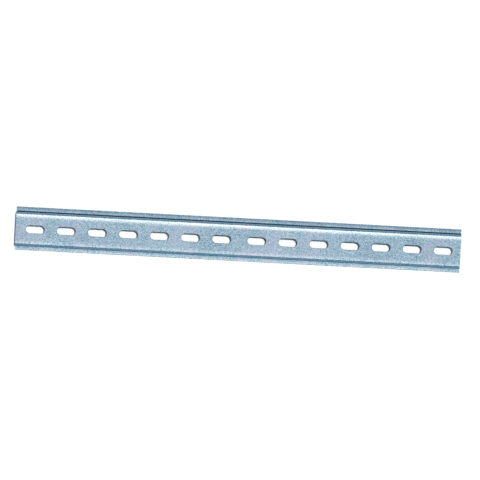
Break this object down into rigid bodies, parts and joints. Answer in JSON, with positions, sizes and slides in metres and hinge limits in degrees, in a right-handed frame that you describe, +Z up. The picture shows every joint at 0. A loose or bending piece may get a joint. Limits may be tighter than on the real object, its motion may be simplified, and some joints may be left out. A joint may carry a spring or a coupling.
{
  "type": "din rail",
  "caption": "Slotted hat-section steel mounting rail that clip-on electrical devices hook onto, cut to a short length.",
  "frame": {"origin": "on the ground in the middle of the rail's outline, with the rail lying on its flanges", "axes": "+X along the rail, +Y across it, +Z up from the flange faces to the back of the web"},
  "size_m": [0.358, 0.035, 0.0075],
  "materials": {
    "zinc_plated_steel": "zinc coated, satin, with a fine mottle"
  },
  "bodies": {
    "root": {"din_rail": "zinc_plated_steel"}
  },
  "joints": []
}
